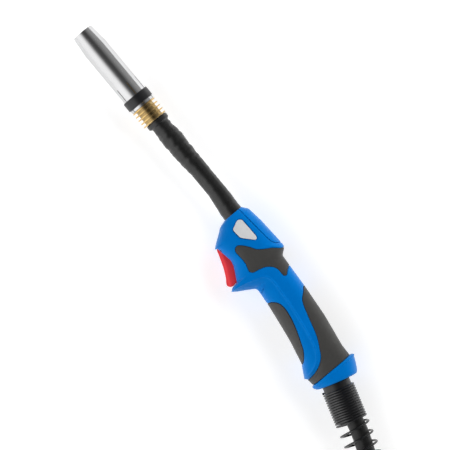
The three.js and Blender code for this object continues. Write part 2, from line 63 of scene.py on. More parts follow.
TORCH = Matrix.Translation(JOINTS["neck_direction"]["pos_m"]) @ Matrix.Scale(0.001, 4)

# ---- Dimensions, in millimetres ----
HALF_WIDTH = 20
GAP = 0.3
WALL = 2.4
PAD_DEPTH = 1.3
BADGE_DEPTH = 0.8
BADGE_PROUD = 0.5
REAR_CENTRE = (162, -22.1)
REAR_TILT = math.radians(-17.4)
REAR = Matrix.Translation((*REAR_CENTRE, 0)) @ Matrix.Rotation(REAR_TILT, 4, "Z")
CABLE_RADIUS = 7.9
HANK = Matrix.Translation((364, -20, -HALF_WIDTH))
HANK_RUN = 176
OUTER_TURN = 63.2
INNER_TURN = 47.4
TOP_TURN = 55.3
TOP_HEIGHT = 37.4
PLUG_START = (20, -TOP_TURN, 53.6)
PLUG = HANK @ Matrix.Translation(PLUG_START)
TIE_PLACES = (38, 142)
TIE_WIDTH = 16
TIE_THICK = 1.3
BEND_JOINTS = 7
BEND_START = -8
BEND_PITCH = 60 / 7
TRIGGER_PIVOT = (18, -27.5)
TRIGGER_HALF = 6.4
SCREWS = ((9.5, -17), (60, -15), (141.5, -31))

# Side outline of the handle: top and bottom edges and half width, along the handle.
TOP = [(0, 9.7), (2.5, 11.5), (5, 13.7), (20, 15.5), (38, 16.5), (50, 16.8), (51.6, 15.9),
       (55.8, 10.4), (66, 9.6), (88, 8.3), (120, 5.2), (150, 0.2), (160.7, -0.2)]
BOTTOM = [(0, -10), (2, -16.3), (5.4, -20.8), (10, -27.5), (14.2, -32.8), (14.8, -31),
          (22, -29.9), (30, -28.4), (35, -29.4), (40, -32), (49, -37.2), (49.8, -44),
          (52, -45.2), (55.4, -40.4), (60, -32.5), (63.3, -27.1), (66, -26), (80, -27.2),
          (100, -30), (120, -33.2), (140, -37.8), (152.2, -44.7), (153.6, -42.8), (160.7, -42)]
HALF = [(0, 12.5), (5, 16), (14, 18.8), (30, 19.5), (48, 19), (56, 16.8), (64, 16.6),
        (90, 18.4), (130, 19), (160.7, 19.4)]
INNER_TOP = [(4, 10.6), (20, 13), (48, 13.9), (56, 7.8), (66, 7.2), (88, 5.9), (120, 2.8),
             (150, -2.2), (161.5, -2.7)]
INNER_BOTTOM = [(4, -11), (14, -25.4), (22, -26.4), (56, -25.6), (66, -23.6), (100, -27.6),
                (120, -30.8), (140, -35.4), (161.5, -39)]
CAP_OUTLINE = [(-2, 6.6), (3, 6.8), (20, 8.3), (36, 9.8), (40, 10.6), (43, 12.4), (45.2, 15.2),
               (46.5, 18), (46.5, 26), (-2, 26)]
BADGE_OUTLINE = [(8.5, 3), (29, 3.5), (31, 1), (20.5, -8.8), (10.5, -9.5), (6.2, -0.5)]
FRONT_PAD = [(51.3, 26), (51.3, 15.6), (45, 7.1), (37.5, -3.8), (31.7, -7.5), (26.3, -12),
             (24.2, -15), (24.6, -17.5), (26.5, -19.2), (36.7, -19), (41, -19.3), (45, -20.5),
             (48.3, -21.1), (50.8, -19.2), (52.1, -13.3), (53.8, -8.3), (57.5, -3.3),
             (61.7, -0.8), (70.4, 0), (71.2, 1.6), (68.3, 5.4), (66.2, 9.6), (65.2, 26)]
UPPER_PAD = [(86.7, 26), (88.3, 7.9), (92, 4), (96.5, -1), (101, -3.3), (112, -6.7),
             (129, -11.7), (139, -16.7), (145.6, -20.6), (150.6, -26.7), (153.3, -33.3),
             (154.6, -42.2), (154.6, -60), (170, -60), (170, 26)]
LOWER_PAD = [(79.2, -60), (80.3, -26.4), (82, -23), (85, -20), (90, -18.2), (101, -18.9),
             (112, -21.7), (123, -25.6), (132, -29.4), (138, -33.9), (140.6, -37.4), (142, -60)]
# The raised crease that runs from the finger guard's lip along the blue spine.
SPINE = [(51.4, -45), (53.2, -34), (56, -23), (58.6, -16), (62, -12.3), (67, -11), (80, -11.4),
         (100, -13.2), (120, -16.2), (130, -18.3), (138, -20.6), (145, -25), (149, -31),
         (151.2, -38), (152.2, -45)]


# ---- Numbers ----
def along(points, x):
    xs, values = zip(*sorted(points))
    return np.interp(x, xs, values)


def smoothed(points, x, spread):
    """Reading of a list of (x, value) points with its corners rounded over a distance."""
    offsets = np.linspace(-2.2, 2.2, 13)
    weights = np.exp(-offsets ** 2 / 2)
    values = sum(w * along(points, x + o * spread) for o, w in zip(offsets, weights))
    return values / weights.sum()


def step(value, start, end):
    t = np.clip((value - start) / (end - start), 0, 1)
    return t * t * (3 - 2 * t)


def curve_through(points, spacing, closed=False):
    """Smooth line through the points, sampled at about the given spacing."""
    p = [np.array(q, float) for q in points]
    count = len(p)
    out = []
    for i in range(count if closed else count - 1):
        if closed:
            a, b, c, d = (p[(i + k) % count] for k in (-1, 0, 1, 2))
        else:
            b, c = p[i], p[i + 1]
            a = p[i - 1] if i else 2 * b - c
            d = p[i + 2] if i + 2 < count else 2 * c - b
        k1, k2, k3 = (max(1e-6, np.linalg.norm(v - u)) ** 0.5 for u, v in ((a, b), (b, c), (c, d)))
        m1 = (c - b) + k2 * ((b - a) / k1 - (c - a) / (k1 + k2))
        m2 = (c - b) + k2 * ((d - c) / k3 - (d - b) / (k2 + k3))
        steps = max(2, int(round(np.linalg.norm(c - b) / spacing)))
        for t in np.arange(steps) / steps:
            out.append((2 * t ** 3 - 3 * t ** 2 + 1) * b + (t ** 3 - 2 * t ** 2 + t) * m1
                       + (3 * t ** 2 - 2 * t ** 3) * c + (t ** 3 - t ** 2) * m2)
    if not closed:
        out.append(p[-1])
    return np.array(out)


def grown(outline, distance):
    """The closed outline moved outwards by a distance."""
    before = outline - np.roll(outline, 1, 0)
    after = np.roll(outline, -1, 0) - outline
    area = np.sum(outline[:, 0] * np.roll(outline[:, 1], -1)
                  - np.roll(outline[:, 0], -1) * outline[:, 1])
    normals = [np.stack([v[:, 1], -v[:, 0]], 1) / np.linalg.norm(v, axis=1)[:, None]
               for v in (before, after)]
    middle = normals[0] + normals[1]
    middle /= np.linalg.norm(middle, axis=1)[:, None]
    reach = distance * np.sign(area) / np.maximum(0.5, np.sum(middle * normals[1], 1))
    return outline + middle * reach[:, None]


def distance_to(line, points):
    """Distance of 2-D points from a line, positive to its right, and how far along it they are."""
    best = np.full(len(points), 1e9)
    side = np.ones(len(points))
    place = np.zeros(len(points))
    run = 0.0
    for a, b in zip(line[:-1], line[1:]):
        d = b - a
        size = np.linalg.norm(d)
        t = np.clip(((points - a) @ d) / size ** 2, 0, 1)
        away = points - (a + t[:, None] * d)
        gap = np.linalg.norm(away, axis=1)
        near = gap < best
        best = np.where(near, gap, best)
        right = np.sign(d[1] * away[:, 0] - d[0] * away[:, 1])
        side = np.where(near, np.where(right == 0, 1, right), side)
        place = np.where(near, run + t * size, place)
        run += size
    return best * side, place


# ---- Meshes ----
def raw(verts, faces, name="work"):
    mesh = bpy.data.meshes.new(name)
    mesh.from_pydata([tuple(v) for v in verts], [], faces)
    mesh.validate()
    obj = bpy.data.objects.new(name, mesh)
    bpy.context.scene.collection.objects.link(obj)
    return obj


def drop(obj):
    mesh = obj.data
    bpy.data.objects.remove(obj)
    bpy.data.meshes.remove(mesh)


def bake(obj):
    """Replaces the object's mesh by what its modifiers make of it."""
    graph = bpy.context.evaluated_depsgraph_get()
    made = bpy.data.meshes.new_from_object(obj.evaluated_get(graph))
    old = obj.data
    obj.modifiers.clear()
    obj.data = made
    bpy.data.meshes.remove(old)
    return obj


def boolean(target, other, operation, keep=False):
    modifier = target.modifiers.new("cut", "BOOLEAN")
    modifier.object = other
    modifier.operation = operation
    modifier.solver = "MANIFOLD"
    bake(target)
    if not keep:
        drop(other)
    return target


def copy_of(obj):
    twin = bpy.data.objects.new(obj.name, obj.data.copy())
    bpy.context.scene.collection.objects.link(twin)
    return twin


def points_of(obj):
    values = np.empty(len(obj.data.vertices) * 3)
    obj.data.vertices.foreach_get("co", values)
    return values.reshape(-1, 3)


def set_points(obj, values):
    obj.data.vertices.foreach_set("co", values.astype(np.float32).ravel())
    obj.data.update()


def soften(obj, voxel, rounds, limit=150000):
    """Rounds every edge a little, as moulding does, and evens out the mesh."""
    remesh = obj.modifiers.new("remesh", "REMESH")
    remesh.mode = "VOXEL"
    remesh.voxel_size = voxel
    remesh.use_smooth_shade = True
    smooth = obj.modifiers.new("smooth", "SMOOTH")
    smooth.factor = 0.5
    smooth.iterations = rounds
    bake(obj)
    count = 2 * len(obj.data.polygons)
    if count > limit:
        fewer = obj.modifiers.new("fewer", "DECIMATE")
        fewer.ratio = limit / count
        bake(obj)
    return obj


def rounded(profile, radius, steps=5):
    """Rounds the corners of a closed profile, apart from those on the axis."""
    p = [np.array(q, float) for q in profile]
    out = []
    for i, corner in enumerate(p):
        before, after = p[i - 1], p[(i + 1) % len(p)]
        ends = [np.linalg.norm(before - corner), np.linalg.norm(after - corner)]
        if corner[1] < 1e-6 or min(ends) < 1e-6:
            out.append(corner)
            continue
        cut = min(radius, 0.45 * min(ends))
        a = corner + (before - corner) * cut / ends[0]
        b = corner + (after - corner) * cut / ends[1]
        for t in np.linspace(0, 1, steps):
            out.append((1 - t) ** 2 * a + 2 * t * (1 - t) * corner + t * t * b)
    return out


def lathe(profile, segments=96, radius=0.3, shape=None):
    """Revolves a closed (x, r) profile about the X axis; shape may change r with x and angle."""
    p = rounded(profile, radius) if radius else [np.array(q, float) for q in profile]
    verts, rows = [], []
    for x, r in p:
        if r < 1e-6:
            rows.append([len(verts)] * segments)
            verts.append((x, 0, 0))
            continue
        rows.append(list(range(len(verts), len(verts) + segments)))
        for j in range(segments):
            turn = 2 * math.pi * j / segments
            size = shape(x, r, turn) if shape else r
            verts.append((x, size * math.cos(turn), size * math.sin(turn)))
    faces = []
    for i, row in enumerate(rows):
        other = rows[(i + 1) % len(rows)]
        for j in range(segments):
            k = (j + 1) % segments
            corners = []
            for v in (row[j], other[j], other[k], row[k]):
                if v not in corners:
                    corners.append(v)
            if len(corners) > 2:
                faces.append(corners)
    return outward(raw(verts, faces))


def outward(obj):
    """Turns the faces out where the closed mesh came out inside-out."""
    mesh = obj.data
    mesh.calc_loop_triangles()
    co = points_of(obj)
    tri = np.empty(len(mesh.loop_triangles) * 3, int)
    mesh.loop_triangles.foreach_get("vertices", tri)
    a, b, c = co[tri.reshape(-1, 3).T]
    if np.sum(a * np.cross(b, c)) < 0:
        mesh.flip_normals()
    return obj


def loft(rings):
    """Closed skin over equal rings of points, with flat ends."""
    count = len(rings[0])
    verts = np.concatenate(rings)
    faces = []
    for i in range(len(rings) - 1):
        for j in range(count):
            a, b = i * count + j, i * count + (j + 1) % count
            faces.append((a, b, b + count, a + count))
    last = (len(rings) - 1) * count
    faces.append(list(range(count))[::-1])
    faces.append([last + j for j in range(count)])
    return outward(raw(verts, faces))


def closed_band(rings):
    """Closed skin that goes round the rings and back from the last to the first."""
    count = len(rings[0])
    faces = []
    for i in range(len(rings)):
        a, b = i * count, ((i + 1) % len(rings)) * count
        for j in range(count):
            k = (j + 1) % count
            faces.append((a + j, a + k, b + k, b + j))
    return outward(raw(np.concatenate(rings), faces))


def plate(outline, z0, z1):
    """Closed slab with the given side outline."""
    rings = [np.column_stack([outline, np.full(len(outline), z)]) for z in (z0, z1)]
    return loft(rings)


def box(x, y, z):
    outline = np.array([(x[0], y[0]), (x[1], y[0]), (x[1], y[1]), (x[0], y[1])], float)
    return plate(outline, *z)


def rod(x0, x1, r, segments=64):
    return lathe([(x0, 0), (x0, r), (x1, r), (x1, 0)], segments, 0)


def cross_rod(at, z0, z1, r, segments=40, radius=0):
    made = lathe([(z0, 0), (z0, r), (z1, r), (z1, 0)], segments, radius)
    co = points_of(made)
    set_points(made, np.column_stack([at[0] + co[:, 1], at[1] + co[:, 2], co[:, 0]]))
    return outward(made)


def sweep(points, radius, sides=20):
    """Round wire along a line of points, with its ends rounded over."""
    p = np.array(points, float)
    tangent = np.gradient(p, axis=0)
    tangent /= np.linalg.norm(tangent, axis=1)[:, None]
    side = np.cross(tangent[0], (0.0, 0.0, 1.0))
    side /= np.linalg.norm(side)
    turns = 2 * np.pi * np.arange(sides) / sides
    rings = []
    for i, (at, way) in enumerate(zip(p, tangent)):
        side = side - way * (side @ way)
        side /= np.linalg.norm(side)
        up = np.cross(way, side)
        circle = np.outer(np.cos(turns), side) + np.outer(np.sin(turns), up)
        if i == 0:
            rings += [at - way * radius * s + circle * radius * c
                      for s, c in ((0.55, 0.3), (0.42, 0.75))]
        rings.append(at + circle * radius)
        if i == len(p) - 1:
            rings += [at + way * radius * s + circle * radius * c
                      for s, c in ((0.42, 0.75), (0.55, 0.3))]
    return loft(rings)


def place(obj, name, material, body, nodes=(), slot=None, matrix=None, sharp=38):
    """Names the piece, moves it to the row frame and lets it ride on its body."""
    obj.data.transform(TORCH @ matrix if matrix else TORCH)
    obj.name = obj.data.name = name
    obj.data.polygons.foreach_set("use_smooth", [True] * len(obj.data.polygons))
    if sharp:
        obj.data.set_sharp_from_angle(angle=math.radians(sharp))
    obj.data.materials.clear()
    obj.data.materials.append(material)
    if body:
        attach(obj, body)
    if nodes:
        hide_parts(*([nodes] if isinstance(nodes, str) else nodes))
    return obj


# ---- Camera ----
def make_camera():
    distance = 4.0
    picture_side = 0.396
    data = bpy.data.cameras.new("camera")
    camera = bpy.data.objects.new("camera", data)
    bpy.context.scene.collection.objects.link(camera)
    camera.location = TORCH @ Vector((3.1, -11.65, 0)) + Vector((0, 0, distance))
    camera.rotation_euler = (0, 0, math.radians(50.3))
    data.sensor_width = 36
    data.lens = data.sensor_width * distance / picture_side
    bpy.context.scene.camera = camera


# ---- Materials ----
class Nodes:
    """A material's node tree with short calls for the nodes used here."""

    def __init__(self, name):
        self.material = bpy.data.materials.new(name)
        self.material.use_nodes = True
        self.tree = self.material.node_tree
        self.shader = self.tree.nodes["Principled BSDF"]
        self.coords = self.tree.nodes.new("ShaderNodeTexCoord").outputs["Object"]

    def link(self, source, target):
        self.tree.links.new(source, target)

    def stretched(self, scale):
        node = self.tree.nodes.new("ShaderNodeMapping")
        node.inputs["Scale"].default_value = scale
        self.link(self.coords, node.inputs["Vector"])
        return node.outputs["Vector"]

    def noise(self, scale, detail=3, vector=None, roughness=0.55):
        node = self.tree.nodes.new("ShaderNodeTexNoise")
        node.inputs["Scale"].default_value = scale
        node.inputs["Detail"].default_value = detail
        node.inputs["Roughness"].default_value = roughness
        self.link(vector or self.coords, node.inputs["Vector"])
        return node.outputs["Fac"]

    def cells(self, scale):
        node = self.tree.nodes.new("ShaderNodeTexVoronoi")
        node.inputs["Scale"].default_value = scale
        self.link(self.coords, node.inputs["Vector"])
        return node.outputs["Distance"]

    def spread(self, source, low, high, start=0.3, end=0.7):
        node = self.tree.nodes.new("ShaderNodeMapRange")
        node.inputs["From Min"].default_value = start
        node.inputs["From Max"].default_value = end
        node.inputs["To Min"].default_value = low
        node.inputs["To Max"].default_value = high
        self.link(source, node.inputs["Value"])
        return node.outputs["Result"]

    def ramp(self, source, stops):
        node = self.tree.nodes.new("ShaderNodeValToRGB")
        elements = node.color_ramp.elements
        while len(elements) < len(stops):
            elements.new(0.5)
        for element, (position, colour) in zip(elements, stops):
            element.position = position
            element.color = (*colour, 1)
        self.link(source, node.inputs["Fac"])
        return node.outputs["Color"]

    def times(self, first, second):
        node = self.tree.nodes.new("ShaderNodeVectorMath")
        node.operation = "MULTIPLY"
        self.link(first, node.inputs[0])
        self.link(second, node.inputs[1])
        return node.outputs["Vector"]

    def axis_distance(self):
        """Distance from the torch's axis, in mm."""
        node = self.tree.nodes.new("ShaderNodeMapping")
        node.inputs["Location"].default_value = [-c * 1000 for c in TORCH.translation]
        node.inputs["Scale"].default_value = (1000, 1000, 1000)
        self.link(self.coords, node.inputs["Vector"])
        flat = self.tree.nodes.new("ShaderNodeVectorMath")
        flat.operation = "MULTIPLY"
        flat.inputs[1].default_value = (0, 1, 1)
        self.link(node.outputs["Vector"], flat.inputs[0])
        length = self.tree.nodes.new("ShaderNodeVectorMath")
        length.operation = "LENGTH"
        self.link(flat.outputs["Vector"], length.inputs[0])
        return length.outputs["Value"]

    def bump(self, height, depth_mm, strength=1.0, under=None):
        node = self.tree.nodes.new("ShaderNodeBump")
        node.inputs["Strength"].default_value = strength
        node.inputs["Distance"].default_value = depth_mm / 1000
        self.link(height, node.inputs["Height"])
        if under is not None:
            self.link(under, node.inputs["Normal"])
        return node.outputs["Normal"]


def shades(colour, spread):
    """Slightly darker and lighter versions of a colour, as stops for a ramp."""
    return [(0.3, tuple(c * (1 - spread) for c in colour)),
            (0.7, tuple(min(1, c * (1 + spread)) for c in colour))]


def plastic(name, colour, roughness, grain=0.02, spread=0.05, specular=0.5, tint=(1, 1, 1),
            bloom=0.0):
    """Moulded plastic with a fine grain; bloom is the soft lift of colour near its edges."""
    n = Nodes(name)
    n.shader.inputs["Sheen Weight"].default_value = bloom
    n.shader.inputs["Sheen Roughness"].default_value = 0.4
    n.shader.inputs["Sheen Tint"].default_value = (*tint, 1)
    broad = n.noise(70, 4)
    n.link(n.ramp(broad, shades(colour, spread)), n.shader.inputs["Base Color"])
    n.link(n.spread(n.noise(240, 5), roughness - 0.05, roughness + 0.06),
           n.shader.inputs["Roughness"])
    n.shader.inputs["Specular IOR Level"].default_value = specular
    n.shader.inputs["Specular Tint"].default_value = (*tint, 1)
    soft = n.bump(n.noise(60, 2), 0.05)
    n.link(n.bump(n.noise(2600, 2), grain, 1.0, soft), n.shader.inputs["Normal"])
    return n.material


def rubber(name, colour, roughness, grain=0.05, scale=1500, spread=0.12, specular=0.4):
    """Soft-touch rubber with a fine stipple and dusty, uneven gloss."""
    n = Nodes(name)
    dust = n.noise(45, 6, roughness=0.65)
    n.link(n.ramp(dust, shades(colour, spread)), n.shader.inputs["Base Color"])
    n.link(n.spread(n.noise(160, 5), roughness - 0.07, roughness + 0.08),
           n.shader.inputs["Roughness"])
    n.shader.inputs["Specular IOR Level"].default_value = specular
    soft = n.bump(n.noise(90, 3), 0.08)
    n.link(n.bump(n.cells(scale), grain, 1.0, soft), n.shader.inputs["Normal"])
    return n.material


def metal(name, colour, roughness, spread=0.06, grain=0.006, turned=(9000, 60, 60), tarnish=None,
          grooves=None):
    """Bare metal with fine tool marks and a little staining; if grooves is given, painted shade darkens the
    colour near the axis, in its round grooves.
    """
    n = Nodes(name)
    stain = n.noise(55, 6, roughness=0.6)
    stops = shades(colour, spread)
    if tarnish:
        stops = [(0.25, tarnish), *[(0.42 + 0.2 * i, c) for i, (_, c) in enumerate(stops)]]
    shade = n.ramp(stain, stops)
    if grooves:
        # painted shade: the base colour falls to 0.55 of itself close to the axis, on the shaded groove floors
        painted_groove_shade = n.ramp(n.spread(n.axis_distance(), 0, 1, *grooves), [(0, (0.55,) * 3), (1, (1,) * 3)])
        shade = n.times(shade, painted_groove_shade)
    n.link(shade, n.shader.inputs["Base Color"])
    n.shader.inputs["Metallic"].default_value = 1.0
    marks = n.noise(1, 2, n.stretched(turned))
    scuffs = n.noise(380, 6, roughness=0.7)
    n.link(n.spread(scuffs, roughness - 0.06, roughness + 0.1), n.shader.inputs["Roughness"])
    n.link(n.bump(marks, grain, 0.6, n.bump(scuffs, 0.01)), n.shader.inputs["Normal"])
    return n.material


def make_materials():
    return {
        "blue": plastic("blue_plastic", (0.0, 0.15, 0.52), 0.4, 0.016, 0.05, 0.2,
                        (0.05, 0.75, 1.0), 0.12),
        "grip": rubber("grip_rubber", (0.041, 0.04, 0.038), 0.55, 0.03, 1700, 0.1),
        "red": plastic("red_plastic", (0.8, 0.045, 0.057), 0.4, 0.015, 0.05, 0.4,
                       (1.0, 0.45, 0.45)),
        "badge": plastic("badge_silver", (0.6, 0.61, 0.62), 0.4, 0.02, 0.05, 0.5),
        "nickel": metal("nickel_plate", (0.62, 0.62, 0.625), 0.13, 0.04, 0.003, (7000, 80, 80)),
        "brass": metal("brass", (0.66, 0.46, 0.2), 0.14, 0.1, 0.006, (9000, 60, 60),
                       (0.36, 0.21, 0.07)),
        # fin brass: painted shade on the groove floors between the fins, inside 8.9 to 9.4 mm from the axis
        "fins": metal("fin_brass", (0.72, 0.5, 0.21), 0.2, 0.1, 0.006, (9000, 60, 60),
                      (0.36, 0.21, 0.07), (8.9, 9.4)),
        "copper": metal("copper", (0.8, 0.43, 0.29), 0.3, 0.08, 0.006, (9000, 60, 60),
                        (0.45, 0.2, 0.12)),
        "steel": metal("steel", (0.56, 0.57, 0.58), 0.34, 0.06),
        "spring": plastic("spring_steel", (0.006, 0.006, 0.007), 0.17, 0.02, 0.2, 0.7),
        "sleeve": rubber("sleeve_rubber", (0.008, 0.008, 0.008), 0.31, 0.02, 900, 0.25, 0.55),
        "black": plastic("black_plastic", (0.008, 0.008, 0.009), 0.34, 0.03, 0.15),
        "cable": rubber("cable_rubber", (0.008, 0.008, 0.008), 0.42, 0.03, 700, 0.2),
        "strap": rubber("strap_fabric", (0.03, 0.03, 0.032), 0.85, 0.12, 1100, 0.2),
        "ceramic": plastic("ceramic", (0.72, 0.68, 0.6), 0.6, 0.05, 0.08),
    }


# ---- Cable ----
def blurred(values, reach):
    """Running average of the values over a number of places to either side."""
    kernel = np.exp(-np.linspace(-2.5, 2.5, 2 * reach + 1) ** 2 / 2)
    padded = np.pad(values, reach, mode="edge")
    return np.convolve(padded, kernel / kernel.sum(), "valid")


def laid_height(plan, ground, reach):
    """Rests each length of the cable on the lengths that were laid before it."""
    away = np.linalg.norm(plan[:, None] - plan[None, :], axis=2)
    order = np.arange(len(plan))
    earlier = (order[:, None] - order[None, :]) > reach
    over = earlier & (away < 2 * CABLE_RADIUS)
    rise = np.sqrt(np.maximum(0, (2 * CABLE_RADIUS) ** 2 - away ** 2))
    heights = ground
    for _ in range(14):
        need = np.where(over, heights[None, :] + rise, -1e9).max(axis=1)
        need = np.maximum(need, ground)
        heights = np.maximum(need, blurred(need, 16))
    return blurred(heights, 6)


def hank_plan(quarters):
    """Where the cable runs in the hank, seen from above; a turn is four quarters: run, fold, twice."""
    radius = (OUTER_TURN
              + (INNER_TURN - OUTER_TURN) * step(quarters, 3, 4)
              + (OUTER_TURN - INNER_TURN) * step(quarters, 9.5, 10.6)
              + (TOP_TURN - OUTER_TURN) * step(quarters, 14, 14.7))
    part = quarters % 4
    out = np.clip(part, 0, 1) - np.clip(part - 2, 0, 1)
    turn = np.pi * (np.clip(part - 1, 0, 1) + np.clip(part - 3, 0, 1))
    return np.column_stack([HANK_RUN * out + radius * np.sin(turn), -radius * np.cos(turn)])


def evened(points, spacing):
    """The same line with its points an even distance apart."""
    run = np.cumsum(np.linalg.norm(np.diff(points, axis=0, prepend=points[:1]), axis=1))
    even = np.linspace(0, run[-1], int(run[-1] / spacing) + 1)
    return np.column_stack([np.interp(even, run, column) for column in points.T])


def cable_route():
    """The cable's centreline from the ball joint, over the table, round the hank, to its plug."""
    lead = [(181.1, -28.1, 0), (186.8, -29.9, 0), (197, -32.1, 0), (208.5, -33.9, 0),
            (220, -37.1, -0.3), (235, -42.9, -1.5), (252, -49.8, -4), (267, -56, -7),
            (285, -63.7, -10.2), (302, -71.1, -11.9), (309.5, -74.3, -12.1), (318, -77.6, -12.1),
            (327, -80.3, -12.1), (337, -82.3, -12.1), (348, -83.1, -12.1), (364, -83.2, -12.1)]
    start = curve_through(lead, 3)[:-1] - HANK.translation
    plan = hank_plan(np.linspace(0, 16 + PLUG_START[0] / HANK_RUN, 1200))
    lift = sum(np.exp(-((plan[:, 0] - at) / 34) ** 2) for at in TIE_PLACES) * (plan[:, 1] > 0)
    ground = CABLE_RADIUS + (TIE_THICK + 0.3) * lift
    route = evened(np.vstack([start, np.column_stack([plan, ground])]), 3.7)
    left = 3.7 * (len(route) - 1 - np.arange(len(route)))
    climb = 1 - step(left, 0, 110)
    ramp = TOP_HEIGHT - 4 + (PLUG_START[2] - TOP_HEIGHT + 4) * climb
    ground = np.where(left < 110, np.maximum(route[:, 2], ramp), route[:, 2])
    return np.column_stack([route[:, :2], laid_height(route[:, :2], ground, 12)])


def make_cable(look):
    route = np.array([tuple(TORCH @ HANK @ Vector(p)) for p in cable_route()])
    data = bpy.data.curves.new("cable", "CURVE")
    data.dimensions = "3D"
    data.bevel_depth = CABLE_RADIUS / 1000
    data.bevel_resolution = 8
    spline = data.splines.new("POLY")
    spline.points.add(len(route) - 1)
    spline.points.foreach_set("co", np.column_stack([route, np.ones(len(route))]).ravel())
    spline.use_smooth = True
    obj = bpy.data.objects.new("cable", data)
    bpy.context.scene.collection.objects.link(obj)
    data.materials.append(look["cable"])
    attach(obj, "cable")
    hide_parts("cable_lead", "cable_hank", "cable_tail")


def make_ties(look):
    """Two fabric straps drawn tight round the hank's far run."""
    points = cable_route()
    turns = 2 * np.pi * np.arange(96) / 96
    way = np.column_stack([np.cos(turns), np.sin(turns)])
    for i, at in enumerate(TIE_PLACES):
        x, y, _ = points.T
        crossing = (y > 0) & (np.abs(x - at) < 2.5)
        centres = points[crossing][:, 1:]
        best = centres[np.argmax(way @ centres.T, axis=1)]
        inner = best + way * (CABLE_RADIUS + 0.25)
        outer = best + way * (CABLE_RADIUS + 0.25 + TIE_THICK)
        seam = step(np.abs(turns - 0.9), 0.42, 0.36)[:, None] * 1.1
        half = TIE_WIDTH / 2
        rings = []
        for side, ring in ((-half, inner), (-half, outer + seam * way), (-half + 0.5, outer + (0.3 + seam) * way),
                           (half - 0.5, outer + (0.3 + seam) * way), (half, outer + seam * way),
                           (half, inner)):
            rings.append(np.column_stack([np.full(len(ring), at + side), ring]))
        strap = closed_band(rings)
        place(strap, f"tie_{i + 1}", look["strap"], "cable", matrix=HANK, slot="sleeve_rubber")


# ---- Handle ----
def handle_rings(top, bottom, half, stations, squareness=2.7, count=110):
    """Rounded-square sections of the handle, each with count points down either side."""
    angle = np.pi * np.arange(count) / count
    v = np.concatenate([np.cos(angle), -np.cos(angle)])
    side = np.concatenate([np.ones(count), -np.ones(count)])
    across = side * np.maximum(0, 1 - np.abs(v) ** squareness) ** (1 / squareness)
    rings = []
    for x, t, b, h in zip(stations, top, bottom, half):
        rings.append(np.column_stack([np.full(2 * count, x), (t + b) / 2 + (t - b) / 2 * v,
                                      h * across]))
    return rings


def handle_form(inset):
    x = np.unique(np.concatenate([np.arange(0, 160.7, 0.7), [14.2, 14.8, 49, 49.8, 160.7]]))
    top = smoothed(TOP, x, 0.7) - inset
    bottom = smoothed(BOTTOM, x, 0.35) + inset
    return loft(handle_rings(top, bottom, smoothed(HALF, x, 2.5) - inset, x))


def handle_cavity():
    x = np.arange(4, 161.6, 2.5)
    return loft(handle_rings(along(INNER_TOP, x), along(INNER_BOTTOM, x),
                             smoothed(HALF, x, 2.5) - WALL, x, 2.7, 30))


def relief(co):
    """Moves points of the handle's sides in and out: crease, scoops and edge strips."""
    x, y, z = co.T
    flank = step(np.abs(z) / smoothed(HALF, x, 2.5), 0.35, 0.75)
    spine = curve_through(SPINE, 1.0)
    d, run = distance_to(spine, co[:, :2])
    cusp = np.sqrt(d ** 2 + 0.3 ** 2) - 0.3
    fade = 1 - step(np.abs(d), 6, 14)
    crease = 1.2 * np.exp(-cusp / 0.8)
    guard = 1 - step(run, 28, 46)
    scoop = -1.9 * guard * step(d, 0.2, 8) * (1 - step(d, 10, 20))
    heel = step(run, 118, 134)
    scoop += -1.5 * heel * step(-d, 0.1, 2.4) * (1 - step(-d, 4, 7))
    edge = curve_through([(38.5, 1.0), (44.4, 8.9), (50, 16.6)], 1.0)
    e, _ = distance_to(edge, co[:, :2])
    strip = 0.6 * np.exp(-((e + 0.6) / 1.1) ** 2) * step(y, 3, 8)
    dz = (crease * fade + scoop + strip) * flank
    return np.column_stack([x, y, z + np.sign(z) * dz])


def closed_outline(points, spacing=0.8):
    return curve_through(points, spacing, closed=True)


def side_plate(outline, side):
    return plate(outline, GAP / 2, 40) if side > 0 else plate(outline, -40, -GAP / 2)


def badge_outline(distance):
    """The badge's outline with round corners."""
    p = [np.array(q, float) for q in BADGE_OUTLINE]
    out = []
    for i, corner in enumerate(p):
        before, after = p[i - 1], p[(i + 1) % len(p)]
        cuts = [min(2.2, 0.45 * np.linalg.norm(q - corner)) for q in (before, after)]
        a, b = (corner + (q - corner) / np.linalg.norm(q - corner) * c
                for q, c in zip((before, after), cuts))
        out += [(1 - t) ** 2 * a + 2 * t * (1 - t) * corner + t * t * b
                for t in np.linspace(0, 1, 7)]
    return grown(np.array(out), distance)


